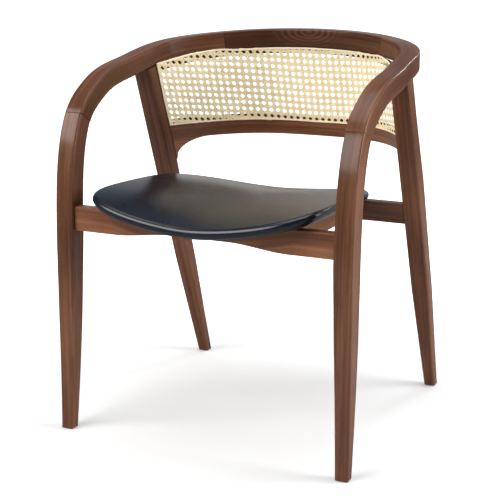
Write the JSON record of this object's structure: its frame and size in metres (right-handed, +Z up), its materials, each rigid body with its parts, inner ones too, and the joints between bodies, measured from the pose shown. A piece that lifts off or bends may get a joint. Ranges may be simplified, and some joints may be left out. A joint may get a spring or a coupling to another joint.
{
  "type": "rattan armchair",
  "caption": "Low armchair with a bent wooden ring for arms and back rail, a curved woven cane back and a saddle-shaped leather seat on leaning legs",
  "frame": {"origin": "on the floor, under the middle of the chair's outline", "axes": "+Z up, the chair faces -Y, its left side as seen from the front is at -X"},
  "size_m": [0.5822, 0.602, 0.7247],
  "materials": {
    "frame_wood": "satin walnut stain",
    "cane": "natural woven cane, pale straw",
    "reed": "natural reed, cream",
    "seat_leather": "satin blue-black leather",
    "seat_foam": "cut foam, cream",
    "seat_plywood": "moulded plywood, stained",
    "dowel_wood": "raw beech",
    "steel": "zinc plated",
    "glide": "black nylon"
  },
  "bodies": {
    "root": {"arm_left": "frame_wood", "arm_right": "frame_wood", "crest_rail": "frame_wood", "front_leg_left": "frame_wood", "front_leg_right": "frame_wood", "rear_leg_left": "frame_wood", "rear_leg_right": "frame_wood", "front_rail": "frame_wood", "rear_rail": "frame_wood", "seat_bearer_left": "frame_wood", "seat_bearer_right": "frame_wood", "lower_back_rail": "frame_wood", "cane_edging_top": "frame_wood", "cane_edging_bottom": "frame_wood", "cane_edging_left": "frame_wood", "cane_edging_right": "frame_wood", "cane_panel": "cane", "cane_reed_top": "reed", "cane_reed_bottom": "reed", "cane_reed_left": "reed", "cane_reed_right": "reed", "seat_cover": "seat_leather", "seat_foam": "seat_foam", "seat_shell": "seat_plywood", "arm_dowel_left": "dowel_wood", "arm_dowel_right": "dowel_wood", "crest_dowel_left": "dowel_wood", "crest_dowel_right": "dowel_wood", "rear_leg_dowel_left": "dowel_wood", "rear_leg_dowel_right": "dowel_wood", "back_rail_dowel_left": "dowel_wood", "back_rail_dowel_right": "dowel_wood", "front_rail_dowel_left_a": "dowel_wood", "front_rail_dowel_left_b": "dowel_wood", "front_rail_dowel_right_a": "dowel_wood", "front_rail_dowel_right_b": "dowel_wood", "rear_rail_dowel_left_a": "dowel_wood", "rear_rail_dowel_left_b": "dowel_wood", "rear_rail_dowel_right_a": "dowel_wood", "rear_rail_dowel_right_b": "dowel_wood", "bearer_dowel_left_front": "dowel_wood", "bearer_dowel_left_rear": "dowel_wood", "bearer_dowel_right_front": "dowel_wood", "bearer_dowel_right_rear": "dowel_wood", "front_seat_screw_left": "steel", "front_seat_screw_right": "steel", "rear_seat_screw_left": "steel", "rear_seat_screw_right": "steel", "front_glide_left": "glide", "front_glide_right": "glide", "rear_glide_left": "glide", "rear_glide_right": "glide"}
  },
  "joints": []
}
